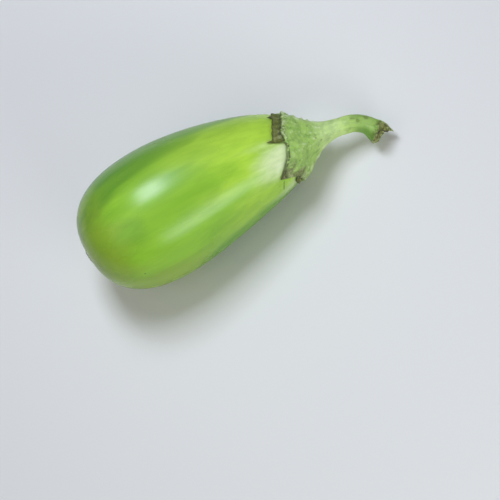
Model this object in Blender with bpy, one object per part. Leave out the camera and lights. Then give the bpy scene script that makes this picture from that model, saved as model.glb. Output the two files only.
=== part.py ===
"""A pale green eggplant that lies on its side, as picked.

Two solids: the fruit, and the lobed calyx with the curved stalk that it grew on. Both are modelled
round one centre line, which runs from the blossom end through the belly to the cut end of the stalk. A
point is given by how far along that line it is (along), how far from it (out) and at which angle round it
(turn, 0 on the side that faces up, 90 degrees on the side that the stalk bends to). Lengths are in metres.
"""

import math

import bmesh
import bpy
import numpy as np
from mathutils import Matrix, Vector

MM = 0.001

# The fruit, measured from its widest section, the belly
BELLY_RADIUS = 39.0 * MM
BLOSSOM_LENGTH = 51.0 * MM
BLOSSOM_FULLNESS = 2.5
STEM_LENGTH = 92.0 * MM
STEM_TAPER = 0.545
STEM_TAPER_POWER = 1.58
SHOULDER_POWER = 11
OVAL = 0.010
OVAL_TURN = math.radians(17)
THREE_SIDED = 0.006
THREE_SIDED_TURN = math.radians(-21)
SCAR_RADIUS = 3.2 * MM
SCAR_HEIGHT = 0.35 * MM
SCAR_RING = 0.8
SCAR_RING_WIDTH = 0.42
SCAR_DIMPLE = 0.6 * MM
SCAR_DIMPLE_WIDTH = 0.4

# The centre line: the arcs of the fruit, of the stalk's foot and of the stalk's bend
BELLY_HEADING = math.radians(-4.1)
FRUIT_BOW_RADIUS = 505.0 * MM
FOOT_BOW_RADIUS = 1000.0 * MM
BEND_START = 114.3 * MM
BEND_RADIUS = 20.0 * MM
STALK_END = 136.7 * MM

# The stalk, which swells, most at its heel inside the bend, and ends in a slanted, ragged, hollow cut
STALK_RADIUS = 5.2 * MM
STALK_RIDGE = 0.2 * MM
STALK_RIDGE_FADE = 8.0 * MM
CUT_SWELLING = 1.4 * MM
CUT_SWELLING_LENGTH = 11.0 * MM
CUT_HEEL = 0.3 * MM
CUT_HOLLOW = 1.3 * MM
CUT_SLANT = 2.7 * MM
CUT_SLANT_TURN = math.radians(-35)
CUT_RAGGED = 0.4 * MM
CUT_LIP = 4.1 * MM
CUT_LIP_TURN = math.radians(-98)
CUT_LIP_WIDTH = math.radians(18)

# The calyx, whose distances run along the fruit's skin from the fruit's stem pole
SKIN_GAP = 0.3 * MM
SHOULDER_ARC = 17.5 * MM
SINUS_ARC = 26.3 * MM
FLESH_THICKNESS = 2.2 * MM
MARGIN_THICKNESS = 0.8 * MM
LEAST_MARGIN = 0.6 * MM
RIM_LIFT = 0.5 * MM
LIFT_WIDTH = 4.0 * MM
CREASE_WIDTH = 1.2 * MM
FLARE_TOP = 112.0 * MM
FLARE_STALK_PULL = 9.5 * MM
FLARE_SHOULDER_PULL = 10.5 * MM
RIDGE_HEIGHT = 0.9 * MM
RIDGE_TURN = math.radians(18)
RIDGE_FADE = 6.0 * MM

# Each lobe: where it begins, where its tip is and where it ends (degrees round the fruit), how far the tip
# reaches past the notches, how steeply each side rises to the tip, and how wide its dry margin is. The second
# and third are the two points of the first, broad lobe.
LOBES = (
    (-98, -13.8, -7.8, 6.9 * MM, 2.25, 0.7, 4.6 * MM),
    (-75, -58.5, -50, 3.7 * MM, 2.5, 2.0, 5.2 * MM),
    (-23, -13.8, -7.8, 10.4 * MM, 4.0, 0.7, 5.2 * MM),
    (-3, 38, 55, 11.1 * MM, 1.97, 1.3, 0.5 * MM),
    (55, 64, 108, 2.3 * MM, 0.7, 1.2, 2.4 * MM),
    (108, 138, 166, 10.5 * MM, 2.0, 1.6, 3.4 * MM),
    (166, 193, 217, 9.0 * MM, 1.6, 2.0, 3.2 * MM),
    (217, 240, 262, 8.5 * MM, 1.7, 1.8, 3.2 * MM),
)

# How it rests: the belly's centre over the surface, and where that is from the flat spot's middle
REST_PITCH = math.radians(8.5)
REST_ROLL = math.radians(25)
BELLY_HEIGHT = 38.6 * MM
BELLY_FROM_SPOT = Vector((-11.5 * MM, -1.0 * MM, BELLY_HEIGHT))

SNAP_TO_SURFACE = 0.1 * MM

# How finely the meshes are divided: points round a ring (or degrees between them), rings, outline samples
FRUIT_COLUMNS = 64
FRUIT_RINGS = 35
CALYX_COLUMN_ANGLE = 4.5
STALK_RINGS = 14
NECK_RINGS = 10
OUTLINE_SAMPLES = 1500


def smooth(t):
    """0 below 0, 1 above 1, with a soft S between."""
    t = np.clip(t, 0.0, 1.0)
    return t * t * (3 - 2 * t)


def centre_line(along):
    """Centre and heading of the centre line: straight to the belly, then three arcs, all in one plane."""
    x = np.zeros_like(along)
    y = np.zeros_like(along)
    heading = np.full_like(along, BELLY_HEADING)
    x += np.minimum(along, 0.0) * np.cos(heading)
    y -= np.minimum(along, 0.0) * np.sin(heading)
    arcs = (
        (np.clip(along, 0.0, STEM_LENGTH), FRUIT_BOW_RADIUS),
        (np.clip(along, STEM_LENGTH, BEND_START) - STEM_LENGTH, FOOT_BOW_RADIUS),
        (np.maximum(along, BEND_START) - BEND_START, BEND_RADIUS),
    )
    for run, radius in arcs:
        turned = heading + run / radius
        x += radius * (np.sin(turned) - np.sin(heading))
        y += radius * (np.cos(turned) - np.cos(heading))
        heading = turned
    return x, y, heading


def place(along, out, turn):
    """Points in the fruit's own frame: +X along it to the stalk, +Z the side that faces up."""
    along, out, turn = np.broadcast_arrays(along, out, turn)
    x, y, heading = centre_line(along.astype(float))
    side = out * np.sin(turn)
    return np.stack(
        (x - side * np.sin(heading), y - side * np.cos(heading), out * np.cos(turn)), axis=-1
    )


def fruit_outline():
    """The fruit's outline from the stem pole to the blossom pole: along, out, normals and arc length.

    The blossom end is a superellipse. The stem end tapers by a power of the distance from the belly and is
    closed by a steep root, which makes the rounded shoulder.
    """
    sweep = np.linspace(0, math.pi / 2, OUTLINE_SAMPLES)
    far = np.sin(sweep[::-1])
    stem_out = (1 - STEM_TAPER * far**STEM_TAPER_POWER) * np.sqrt(1 - far**SHOULDER_POWER)
    near = 1 - np.cos(sweep[1:])
    blossom_out = (1 - near**BLOSSOM_FULLNESS) ** (1 / BLOSSOM_FULLNESS)
    along = np.concatenate((far * STEM_LENGTH, -near * BLOSSOM_LENGTH))
    out = BELLY_RADIUS * np.concatenate((stem_out, blossom_out))
    out[0] = out[-1] = 0.0
    step_along, step_out = np.gradient(along), np.gradient(out)
    step = np.hypot(step_along, step_out)
    arc = np.concatenate(([0.0], np.cumsum(np.hypot(np.diff(along), np.diff(out)))))
    return along, out, step_out / step, -step_along / step, arc


OUTLINE = fruit_outline()
FRUIT_ARC = OUTLINE[4][-1]


def skin(arc, turn, lift=0.0):
    """(along, out) of the fruit's skin at an arc length from the stem pole, raised by lift square to it.

    The section is a circle, made slightly oval and three-sided where the fruit is thick.
    """
    along, out, normal_along, normal_out = (np.interp(arc, OUTLINE[4], v) for v in OUTLINE[:4])
    reach = np.where(along > 0, along / STEM_LENGTH, along / BLOSSOM_LENGTH)
    oval = OVAL * np.cos(2 * (turn - OVAL_TURN)) + THREE_SIDED * np.cos(3 * (turn - THREE_SIDED_TURN))
    return along + lift * normal_along, out * (1 + (1 - reach**2) * oval) + lift * normal_out


def scar_relief(arc):
    """Height of the corky blossom scar: a low ring with a dimple in its middle, both bell-shaped."""
    away = (FRUIT_ARC - arc) / SCAR_RADIUS
    ring = SCAR_HEIGHT * np.exp(-(((away - SCAR_RING) / SCAR_RING_WIDTH) ** 2))
    return ring - SCAR_DIMPLE * np.exp(-((away / SCAR_DIMPLE_WIDTH) ** 2))


def lobe_shape(turn):
    """How far the calyx's rim reaches past the notches, and how wide its dry margin is, round the fruit.

    On each side of a lobe the rim rises as a power of the way from the notch to the tip. Where lobes
    overlap, the rim follows the one that reaches further.
    """
    degrees = (np.degrees(turn) - LOBES[0][0]) % 360 + LOBES[0][0]
    reach = np.zeros_like(degrees)
    margin = np.zeros_like(degrees)
    for begin, tip, end, length, rise, fall, dry in LOBES:
        inside = (degrees >= begin) & (degrees < end)
        up = np.clip((degrees - begin) / (tip - begin), 0, 1) ** rise
        down = np.clip((end - degrees) / (end - tip), 0, 1) ** fall
        share = np.minimum(up, down)
        middle = np.clip(4 * (degrees - begin) * (end - degrees) / (end - begin) ** 2, 0, 1)
        reach = np.maximum(reach, length * share * inside)
        margin = np.maximum(margin, dry * (np.sqrt(middle) + 0.4 * share**3) * inside)
    return reach, margin + LEAST_MARGIN


def ridges(turn):
    """Height of the five low ridges that run down from the stalk."""
    return RIDGE_HEIGHT * np.cos(5 * (turn - RIDGE_TURN))


def calyx_skin(inset, turn):
    """(along, out) of the calyx's outer face, at a distance inset from its rim.

    The fleshy cap steps down at a crease to the thin dry margin, which lifts a little off the fruit. The
    ridges fade out towards the crease.
    """
    reach, margin = lobe_shape(turn)
    flesh = smooth((inset - margin) / CREASE_WIDTH + 0.5)
    lift = RIM_LIFT * np.clip(1 - inset / LIFT_WIDTH, 0, 1) ** 2
    thick = MARGIN_THICKNESS + (FLESH_THICKNESS - MARGIN_THICKNESS) * flesh
    thick = thick + ridges(turn) * smooth((inset - margin) / RIDGE_FADE)
    return skin(SINUS_ARC + reach - inset, turn, SKIN_GAP + lift + thick)


def bezier(points, t):
    """A cubic curve through its first and last points."""
    weights = ((1 - t) ** 3, 3 * t * (1 - t) ** 2, 3 * t * t * (1 - t), t**3)
    return sum(w * p for w, p in zip(weights, points))


def flare(t, turn):
    """(along, out) of the neck between the stalk (t 0) and the calyx's shoulder (t 1)."""
    thick = SKIN_GAP + FLESH_THICKNESS + ridges(turn)
    foot = skin(SHOULDER_ARC, turn, thick)
    before = skin(SHOULDER_ARC - 1 * MM, turn, thick)
    pulled = [f + FLARE_SHOULDER_PULL / MM * (b - f) for f, b in zip(foot, before)]
    along = bezier((FLARE_TOP, FLARE_TOP - FLARE_STALK_PULL, pulled[0], foot[0]), t)
    out = bezier((STALK_RADIUS, STALK_RADIUS, pulled[1], foot[1]), t)
    return along, out


def stalk_radius(along, turn):
    """The stalk is faintly five-sided and swells towards its cut end, most on the inside of its bend."""
    swelling = CUT_SWELLING + CUT_HEEL * np.maximum(np.sin(turn), 0)
    swelling = swelling * smooth(1 - (STALK_END - along) / CUT_SWELLING_LENGTH)
    ridge = STALK_RIDGE * np.cos(5 * (turn - RIDGE_TURN)) * smooth((along - FLARE_TOP) / STALK_RIDGE_FADE)
    return STALK_RADIUS + swelling + ridge


def cut_edge(turn):
    """Where the cut rim is along the stalk: slanted and ragged, with one torn lip that points on."""
    slant = -CUT_SLANT * np.cos(turn - CUT_SLANT_TURN)
    ragged = CUT_RAGGED * (np.sin(3 * turn + 0.7) + 0.6 * np.sin(7 * turn + 2))
    away = (turn - CUT_LIP_TURN + math.pi) % (2 * math.pi) - math.pi
    return STALK_END + slant + ragged + CUT_LIP * np.exp(-((away / CUT_LIP_WIDTH) ** 2))


def stalk_rows(turn):
    """Rings of points from the middle of the cut face to its rim, and down the stalk to the neck."""
    edge = cut_edge(turn)
    rows = []
    for share in (0.25, 0.5, 0.75, 0.92):
        sunk = CUT_HOLLOW * (1 - share**2) + (edge - STALK_END) * (1 - share)
        rows.append((edge - sunk, share * stalk_radius(edge, turn)))
    for t in np.linspace(0.0, 1.0, STALK_RINGS, endpoint=False):
        along = edge + (FLARE_TOP - edge) * t
        rows.append((along, stalk_radius(along, turn)))
    return rows


def cap_rows(turn):
    """Rings of points from the shoulder over the crease to the rim, and back inside to the stem pole."""
    reach, margin = lobe_shape(turn)
    rim = SINUS_ARC + reach
    crease = margin + 0.5 * CREASE_WIDTH
    rows = []
    for share in (0.0, 0.34, 0.67, 1.0):
        rows.append(calyx_skin(crease + (rim - SHOULDER_ARC - crease) * (1 - share), turn))
    for inset in (margin - 0.5 * CREASE_WIDTH, 0.5 * margin, 0.3 * MM):
        rows.append(calyx_skin(inset, turn))
    rows.append(skin(rim, turn, SKIN_GAP + RIM_LIFT + 0.5 * MARGIN_THICKNESS))
    for share in (0.985, 0.86, 0.72, 0.58, 0.44, 0.3, 0.16, 0.06):
        lift = RIM_LIFT * np.clip(1 - rim * (1 - share) / LIFT_WIDTH, 0, 1) ** 2
        rows.append(skin(rim * share, turn, SKIN_GAP + lift))
    return rows


def calyx_rows(turn):
    """All the calyx's rings: the stalk, the neck and the cap."""
    neck = [flare(t, turn) for t in np.linspace(0.0, 1.0, NECK_RINGS, endpoint=False)]
    return [place(along, out, turn) for along, out in stalk_rows(turn) + neck + cap_rows(turn)]


def fruit_rows(turn):
    """Rings of points from the stem pole to the blossom pole, close together round the scar."""
    scar = FRUIT_ARC - np.array((2.0, 1.45, 1.05, 0.75, 0.4)) * SCAR_RADIUS
    body = np.linspace(0.0, scar[0] - SCAR_RADIUS, FRUIT_RINGS + 1)[1:]
    rows = []
    for arc in np.concatenate((body, scar)):
        along, out = skin(arc, turn, scar_relief(arc))
        rows.append(place(along, out, turn))
    return rows


def calyx_turns():
    """Angles of a calyx ring's points, with one at each tip and each notch."""
    keys = sorted({angle for lobe in LOBES for angle in lobe[:3]})
    turns = []
    for low, high in zip(keys, keys[1:]):
        steps = max(2, round((high - low) / CALYX_COLUMN_ANGLE))
        turns.append(np.linspace(low, high, steps, endpoint=False))
    return np.radians(np.concatenate(turns))


def closed_mesh(name, rows, first, last):
    """One closed surface: the first pole, a band of faces between each ring and the next, the last pole."""
    columns = len(rows[0])
    points = [first, *np.concatenate(rows), last]
    faces = []
    for c in range(columns):
        d = (c + 1) % columns
        faces.append((0, 1 + c, 1 + d))
        faces.append((len(points) - 1, len(points) - 2 - c, len(points) - 2 - d))
    for r in range(len(rows) - 1):
        for c in range(columns):
            d = (c + 1) % columns
            here, there = 1 + r * columns, 1 + (r + 1) * columns
            faces.append((here + c, there + c, there + d, here + d))
    mesh = bpy.data.meshes.new(name)
    mesh.from_pydata([tuple(p) for p in points], [], faces)
    work = bmesh.new()
    work.from_mesh(mesh)
    bmesh.ops.recalc_face_normals(work, faces=work.faces)
    work.to_mesh(mesh)
    work.free()
    return mesh


def cut_flat_spot(mesh, resting):
    """Cuts the skin level where it meets the surface, and closes the cut with one flat face.

    Points that nearly touch the surface are first moved onto it, so that the cut leaves no slivers.
    """
    into_fruit = resting.inverted()
    down = into_fruit.to_3x3() @ Vector((0, 0, -1))
    work = bmesh.new()
    work.from_mesh(mesh)
    for vert in work.verts:
        below = down.dot(vert.co - into_fruit.translation)
        if abs(below) < SNAP_TO_SURFACE:
            vert.co -= below * down
    cut = bmesh.ops.bisect_plane(
        work,
        geom=[*work.verts, *work.edges, *work.faces],
        dist=0.001 * MM,
        plane_co=into_fruit.translation,
        plane_no=down,
        clear_outer=True,
    )
    rim = [e for e in cut["geom_cut"] if isinstance(e, bmesh.types.BMEdge)]
    bmesh.ops.contextual_create(work, geom=rim)
    bmesh.ops.recalc_face_normals(work, faces=work.faces)
    work.to_mesh(mesh)
    work.free()


def plain_material(name, colour, roughness):
    """A Principled material of one colour."""
    material = bpy.data.materials.new(name)
    material.use_nodes = True
    shader = material.node_tree.nodes["Principled BSDF"]
    shader.inputs["Base Color"].default_value = (*colour, 1.0)
    shader.inputs["Roughness"].default_value = roughness
    shader.inputs["Metallic"].default_value = 0.0
    return material


def add_object(name, mesh, parent, material):
    """One named, smooth-shaded object of the eggplant."""
    mesh.materials.append(material)
    mesh.shade_smooth()
    mesh.set_sharp_from_angle(angle=math.radians(40))
    made = bpy.data.objects.new(name, mesh)
    made.parent = parent
    bpy.context.scene.collection.objects.link(made)


def main():
    for old in list(bpy.data.objects):
        bpy.data.objects.remove(old)

    resting = (
        Matrix.Translation(BELLY_FROM_SPOT)
        @ Matrix.Rotation(REST_PITCH, 4, "Y")
        @ Matrix.Rotation(REST_ROLL, 4, "X")
    )
    lying = bpy.data.objects.new("lying_on_its_side", None)
    lying.matrix_world = resting
    bpy.context.scene.collection.objects.link(lying)

    stem_pole = place(np.array(STEM_LENGTH), np.array(0.0), np.array(0.0))
    blossom_pole = place(np.array(-BLOSSOM_LENGTH + SCAR_DIMPLE), np.array(0.0), np.array(0.0))
    fruit_turns = np.linspace(0, 2 * math.pi, FRUIT_COLUMNS, endpoint=False)
    fruit = closed_mesh("fruit", fruit_rows(fruit_turns), stem_pole, blossom_pole)
    cut_flat_spot(fruit, resting)
    add_object("fruit", fruit, lying, plain_material("green_skin", (0.30, 0.55, 0.06), 0.3))

    cut_middle = place(np.array(STALK_END - CUT_HOLLOW), np.array(0.0), np.array(0.0))
    cap_pole = place(np.array(STEM_LENGTH + SKIN_GAP), np.array(0.0), np.array(0.0))
    calyx = closed_mesh("calyx_and_stalk", calyx_rows(calyx_turns()), cut_middle, cap_pole)
    add_object("calyx_and_stalk", calyx, lying, plain_material("calyx_green", (0.28, 0.42, 0.13), 0.6))


main()
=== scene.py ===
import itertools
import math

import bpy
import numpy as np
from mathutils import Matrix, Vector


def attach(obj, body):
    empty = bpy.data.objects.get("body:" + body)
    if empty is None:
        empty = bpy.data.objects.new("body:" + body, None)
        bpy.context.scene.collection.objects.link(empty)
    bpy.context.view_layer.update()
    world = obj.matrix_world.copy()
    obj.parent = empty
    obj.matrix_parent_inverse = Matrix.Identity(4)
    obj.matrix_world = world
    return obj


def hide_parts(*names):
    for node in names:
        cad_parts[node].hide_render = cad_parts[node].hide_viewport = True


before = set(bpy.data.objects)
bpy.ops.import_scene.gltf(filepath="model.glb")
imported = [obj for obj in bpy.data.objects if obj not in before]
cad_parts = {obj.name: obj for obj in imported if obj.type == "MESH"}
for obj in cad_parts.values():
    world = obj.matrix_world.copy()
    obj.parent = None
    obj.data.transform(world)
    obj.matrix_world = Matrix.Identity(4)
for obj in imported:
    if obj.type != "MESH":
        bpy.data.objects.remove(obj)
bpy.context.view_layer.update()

# Looks for a pale green eggplant on its side: its skin, its calyx and stalk with their fine hairs, a plain
# floor, soft light and the camera. Every surface is worked out in straight coordinates, as if the centre
# line from the blossom end to the cut stalk were straight: x is outwards on the side that faces up, y
# outwards on the side that the stalk bends to, and z along the line from the belly. It is then bent and
# laid down. Turn is the angle round the line: 0 on the side that faces up, 90 degrees on the y side.

MM = 0.001
SHORTEST = 1e-12

# The fruit, measured from its widest section, the belly
BELLY_RADIUS = 39.0 * MM
BLOSSOM_LENGTH = 51.0 * MM
BLOSSOM_FULLNESS = 2.5
STEM_LENGTH = 92.0 * MM
STEM_TAPER = 0.545
STEM_TAPER_POWER = 1.58
SHOULDER_POWER = 11
OVAL = 0.01
OVAL_TURN = math.radians(17)
THREE_SIDED = 0.006
THREE_SIDED_TURN = math.radians(-21)
SCAR_RADIUS = 3.2 * MM
SCAR_HEIGHT = 0.35 * MM
SCAR_DIMPLE = 0.6 * MM

# The centre line: the arcs of the fruit, of the stalk's foot and of the stalk's bend
BELLY_HEADING = math.radians(-4.1)
FRUIT_BOW_RADIUS = 505.0 * MM
FOOT_BOW_RADIUS = 1000.0 * MM
BEND_START = 114.3 * MM
BEND_RADIUS = 20.0 * MM
STALK_END = 136.7 * MM

# The stalk
STALK_RADIUS = 5.2 * MM
STALK_RIDGE = 0.2 * MM
STALK_RIDGE_FADE = 8.0 * MM
CUT_SWELLING = 1.4 * MM
CUT_SWELLING_LENGTH = 11.0 * MM
CUT_HEEL = 0.3 * MM
CUT_HOLLOW = 1.3 * MM
CUT_SLANT = 2.7 * MM
CUT_SLANT_TURN = math.radians(-35)
CUT_RAGGED = 0.4 * MM
CUT_LIP = 4.1 * MM
CUT_LIP_TURN = math.radians(-98)
CUT_LIP_WIDTH = math.radians(18)

# The calyx, whose distances run along the fruit's skin from the fruit's stem pole
SKIN_GAP = 0.3 * MM
SHOULDER_ARC = 17.5 * MM
SINUS_ARC = 26.3 * MM
NOTCH_ALONG = 77.9 * MM
FLESH_THICKNESS = 2.2 * MM
MARGIN_THICKNESS = 0.5 * MM
LEAST_MARGIN = 0.6 * MM
RIM_LIFT = 0.5 * MM
LIFT_WIDTH = 4.0 * MM
CREASE_WIDTH = 1.2 * MM
FLARE_TOP = 112.0 * MM
FLARE_STALK_PULL = 9.5 * MM
FLARE_SHOULDER_PULL = 10.5 * MM
RIDGE_HEIGHT = 0.9 * MM
RIDGE_TURN = math.radians(18)
RIDGE_FADE = 6.0 * MM
RIM_RADIUS = 22.0 * MM
RIM_ROUNDING = 0.5 * MM
LEAST_LIP = 0.3 * MM
FAR_FROM_RIM = 1.0

# Each lobe: where it begins, where its tip is and where it ends (degrees round the fruit), how far the tip
# reaches past the notches, how steeply each side rises to the tip, and how wide its dry margin is. The
# second and third are the two points of the first, broad lobe.
LOBES = (
    (-98, -13.8, -7.8, 6.9 * MM, 2.25, 0.7, 4.6 * MM),
    (-75, -58.5, -50, 3.7 * MM, 2.5, 2.0, 5.2 * MM),
    (-23, -13.8, -7.8, 10.4 * MM, 4.0, 0.7, 5.2 * MM),
    (-3, 38, 55, 11.1 * MM, 1.97, 1.3, 0.5 * MM),
    (55, 64, 108, 2.3 * MM, 0.7, 1.2, 2.4 * MM),
    (108, 138, 166, 10.5 * MM, 2.0, 1.6, 3.4 * MM),
    (166, 193, 217, 9.0 * MM, 1.6, 2.0, 3.2 * MM),
    (217, 240, 262, 8.5 * MM, 1.7, 1.8, 3.2 * MM),
)

# Where round the fruit the dry margin is widest, how far that spreads to each side (degrees), and the width
WIDEST_MARGIN = (-97, 27, 7.0 * MM)

# Round a lobe's point: how far to each side the rim is averaged (degrees), and by what share of the point
# the flesh falls back
POINT_SPREAD = 9
POINT_SHARE = 0.55

# Warts that stand out: along (mm), turn (degrees), half-width (mm) and height (mm). Then the number of small
# ones, and the limits between which those four are drawn for them.
WARTS = (
    (83.6, -76, 1.1, 1.1), (86.0, -66, 0.8, 0.6), (88.6, -76, 1.3, 1.2), (92.4, -74, 1.1, 1.3),
    (95.0, -82, 1.2, 1.0), (90.0, -58, 0.9, 0.6), (98.0, -64, 0.9, 0.5), (83.0, 66, 1.2, 0.7),
    (88.0, 78, 1.3, 0.7), (94.0, 84, 1.2, 0.6), (80.0, 92, 1.2, 0.6), (99.0, 75, 1.0, 0.4),
)
SMALL_WARTS = 110
SMALL_WART_LIMITS = ((74, 104), (-180, 180), (0.35, 0.8), (0.15, 0.4))

# The heights of the rest of the relief: of the skin and its scar, then of the calyx and the stalk
SWELL_HEIGHT = 0.07 * MM
STREAK_HEIGHT = 0.02 * MM
ROLL_HEIGHT = 0.25 * MM
ROLL_WIDTH = 2.5 * MM
CORK_HEIGHT = 0.16 * MM
SPOKE_HEIGHT = 0.08 * MM
RAGGED_RIM = (0.4 * MM, 0.22 * MM)
LUMP_HEIGHT = 0.42 * MM
BUMP_HEIGHT = 0.26 * MM
WRINKLE_HEIGHT = 0.16 * MM
GRAIN_HEIGHT = 0.06 * MM
DRY_WRINKLE_HEIGHT = 0.14 * MM
DRY_BUMP_HEIGHT = 0.1 * MM
BEAD_HEIGHT = 0.45 * MM
GRANULE_HEIGHT = 0.4 * MM
PIT_DEPTH = 0.6 * MM
END_HEIGHT = 0.6 * MM
CUT_HEIGHT = 0.35 * MM
RAY_HEIGHT = 0.15 * MM

# The felt and the torn fibres: how many, their least and greatest length and radius (mm), how deep their
# roots are sunk, and the share of the fibres on the cut's rim
HAIR_COUNT = 6000
HAIR_LENGTHS = (0.3, 0.75)
HAIR_RADII = (0.022, 0.04)
HAIR_SUNK = 0.04 * MM
FIBRE_COUNT = 80
FIBRE_LENGTHS = (0.3, 0.8)
FIBRE_RADII = (0.14, 0.27)
FIBRE_SUNK = 0.25 * MM
RIM_FIBRE_SHARE = 0.7

# The crack and the torn lump in the cut face: x and y of the middle, then the size
CRACK_PLACE = (-1.0 * MM, -1.8 * MM)
CRACK_SIZE = (1.1 * MM, 2.5 * MM)
CRACK_DEPTH = 1.2 * MM
TORN_PLACE = (0.6 * MM, -3.6 * MM)
TORN_WIDTH = 2.0 * MM
TORN_HEIGHT = 2.6 * MM

# How it rests: the belly's centre over the surface, and where that is from the flat spot's middle
REST_PITCH = math.radians(8.5)
REST_ROLL = math.radians(25)
BELLY_FROM_SPOT = Vector((-11.5 * MM, -1.0 * MM, 38.6 * MM))
RESTING = (
    Matrix.Translation(BELLY_FROM_SPOT)
    @ Matrix.Rotation(REST_PITCH, 4, "Y")
    @ Matrix.Rotation(REST_ROLL, 4, "X")
)

# The photograph: its scale, its side, where the belly's centre is in it and how the fruit's axis rises
MM_PER_PIXEL = 0.575
PICTURE_SIDE_PX = 500
BELLY_PX = (164.4, 209.9)
AXIS_RISE = math.radians(27.5)
LENS_MM = 240.0
SENSOR_MM = 36.0

# How finely the surfaces are divided
FRUIT_COLUMNS = 336
FRUIT_HIDDEN_ROWS = 14
FRUIT_BODY_ROWS = 196
FRUIT_SCAR_ROWS = 44
SCAR_REGION = 9.0 * MM
CALYX_COLUMN_ANGLE = 0.92
CUT_ROWS = 26
STALK_ROWS = 80
NECK_ROWS = 60
FLESH_ROWS = 34
CREASE_ROWS = 6
MARGIN_ROWS = 18
INSIDE_ROWS = 12
OUTLINE_SAMPLES = 3000


# Numbers and noise. The primes turn a lattice point's place into the same random value in every run.

LATTICE_PRIMES = (73856093, 19349663, 83492791)
SEED_PRIME = 2654435761
MIX_PRIME = 1274126177
LAYERS_PEAK = 1.4


def smooth(t):
    """0 below 0, 1 above 1, with a soft S between."""
    t = np.clip(t, 0, 1)
    return t * t * (3 - 2 * t)


def wrapped(angle, half=180):
    """An angle, brought to within half a turn of 0."""
    return (angle + half) % (2 * half) - half


def bell(t):
    """1 at 0, falling off as a bell on both sides."""
    return np.exp(-(t**2))


def lattice_noise(points, seed):
    """Smooth noise from -1 to 1: a random value at each whole-number point, blended by an S curve."""
    cell = np.floor(points).astype(np.int64)
    part = smooth(points - cell)
    total = np.zeros(points.shape[:-1])
    for corner in itertools.product((0, 1), repeat=3):
        at = cell + corner
        key = seed * SEED_PRIME
        for axis, prime in enumerate(LATTICE_PRIMES):
            key = key ^ at[..., axis] * prime
        key = ((key ^ (key >> 13)) * MIX_PRIME) & 0xFFFFFFFF
        value = ((key ^ (key >> 16)) & 0xFFFF) / 32767.5 - 1
        weight = np.prod(np.where(corner, part, 1 - part), axis=-1)
        total += weight * value
    return total


def fractal_noise(points, size, seed, octaves=3):
    """Lattice noise with features of a size, plus finer layers, each half as large and half as strong."""
    layers = [lattice_noise(points * (2**i / size), seed + i) * 0.5**i for i in range(octaves)]
    return sum(layers) / LAYERS_PEAK


def round_noise(turn, along, across, length, seed, radius):
    """Noise that runs lengthwise: features `across` wide round a circle of `radius`, and `length` long."""
    turn, along = np.broadcast_arrays(turn, along)
    around = radius / across
    points = np.stack((np.cos(turn) * around, np.sin(turn) * around, along / length), axis=-1)
    return lattice_noise(points, seed)


# The shapes that the part is grown from

def centre_line(along):
    """Centre and heading of the centre line: straight to the belly, then three arcs, all in one plane."""
    x = np.zeros_like(along)
    y = np.zeros_like(along)
    heading = np.full_like(along, BELLY_HEADING)
    x += np.minimum(along, 0) * np.cos(heading)
    y -= np.minimum(along, 0) * np.sin(heading)
    arcs = (
        (np.clip(along, 0, STEM_LENGTH), FRUIT_BOW_RADIUS),
        (np.clip(along, STEM_LENGTH, BEND_START) - STEM_LENGTH, FOOT_BOW_RADIUS),
        (np.maximum(along, BEND_START) - BEND_START, BEND_RADIUS),
    )
    for run, radius in arcs:
        turned = heading + run / radius
        x += radius * (np.sin(turned) - np.sin(heading))
        y += radius * (np.cos(turned) - np.cos(heading))
        heading = turned
    return x, y, heading


def bend_and_lay(straight):
    """Takes straight coordinates to the row frame: bent round the centre line, then laid down."""
    x, y, heading = centre_line(straight[..., 2])
    side = straight[..., 1]
    bent = np.stack((x - side * np.sin(heading), y - side * np.cos(heading), straight[..., 0]), axis=-1)
    turned = np.array(RESTING.to_3x3())
    return bent @ turned.T + np.array(RESTING.translation)


def straighten(along, out, turn):
    """Straight coordinates of points given by along, out and turn."""
    along, out, turn = np.broadcast_arrays(along, out, turn)
    return np.stack((out * np.cos(turn), out * np.sin(turn), along), axis=-1)


def fruit_outline():
    """The fruit's outline from the stem pole to the blossom pole: along, out, normals and arc length.

    The blossom end is a superellipse. The stem end tapers by a power of the distance from the belly and is
    closed by a steep root, which makes the rounded shoulder.
    """
    sweep = np.linspace(0, math.pi / 2, OUTLINE_SAMPLES)
    far = np.sin(sweep[::-1])
    stem_out = (1 - STEM_TAPER * far**STEM_TAPER_POWER) * np.sqrt(1 - far**SHOULDER_POWER)
    near = 1 - np.cos(sweep[1:])
    blossom_out = (1 - near**BLOSSOM_FULLNESS) ** (1 / BLOSSOM_FULLNESS)
    along = np.concatenate((far * STEM_LENGTH, -near * BLOSSOM_LENGTH))
    out = BELLY_RADIUS * np.concatenate((stem_out, blossom_out))
    out[0] = out[-1] = 0.0
    step_along, step_out = np.gradient(along), np.gradient(out)
    step = np.hypot(step_along, step_out)
    arc = np.concatenate(([0.0], np.cumsum(np.hypot(np.diff(along), np.diff(out)))))
    return along, out, step_out / step, -step_along / step, arc


OUTLINE = fruit_outline()
FRUIT_ARC = OUTLINE[4][-1]


def skin(arc, turn, lift=0.0):
    """(along, out) of the fruit's skin at an arc length from the stem pole, raised by lift square to it.

    The section is a circle, made slightly oval and three-sided where the fruit is thick.
    """
    along, out, normal_along, normal_out = (np.interp(arc, OUTLINE[4], v) for v in OUTLINE[:4])
    reach = np.where(along > 0, along / STEM_LENGTH, along / BLOSSOM_LENGTH)
    oval = OVAL * np.cos(2 * (turn - OVAL_TURN)) + THREE_SIDED * np.cos(3 * (turn - THREE_SIDED_TURN))
    return along + lift * normal_along, out * (1 + (1 - reach**2) * oval) + lift * normal_out


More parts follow.
